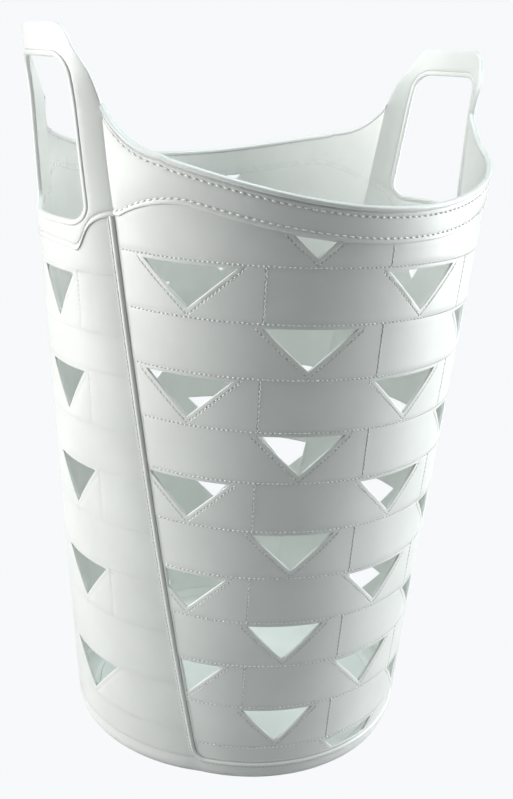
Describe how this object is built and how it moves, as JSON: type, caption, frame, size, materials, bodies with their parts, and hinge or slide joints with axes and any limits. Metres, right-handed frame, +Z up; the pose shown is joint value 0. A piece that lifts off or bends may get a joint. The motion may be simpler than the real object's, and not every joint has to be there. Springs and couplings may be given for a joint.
{
  "type": "laundry tub",
  "caption": "Tall tapered flexible laundry tub with two loop handles, triangular vents in its wall and a sagging rim between the handles.",
  "frame": {"origin": "centre of the foot, on the surface that the tub stands on", "axes": "+Z up, +X towards the right handle, -Y towards the front"},
  "size_m": [0.401, 0.3732, 0.6],
  "materials": {
    "base_plastic": "satin moulded",
    "panel_plastic": "satin moulded",
    "piping_plastic": "satin moulded",
    "handle_plastic": "satin moulded"
  },
  "bodies": {
    "root": {"foot_ring": "base_plastic", "floor_panel": "base_plastic", "base_band": "base_plastic", "front_panel": "panel_plastic", "back_panel": "panel_plastic", "left_side_panel": "panel_plastic", "right_side_panel": "panel_plastic", "front_piping": "piping_plastic", "back_piping": "piping_plastic", "front_arch_welt": "piping_plastic", "back_arch_welt": "piping_plastic", "left_handle_welt": "piping_plastic", "right_handle_welt": "piping_plastic", "front_rim_bead": "piping_plastic", "back_rim_bead": "piping_plastic", "front_rim_band": "handle_plastic", "back_rim_band": "handle_plastic", "left_handle": "handle_plastic", "right_handle": "handle_plastic", "left_grip_rim": "handle_plastic", "right_grip_rim": "handle_plastic"}
  },
  "joints": []
}
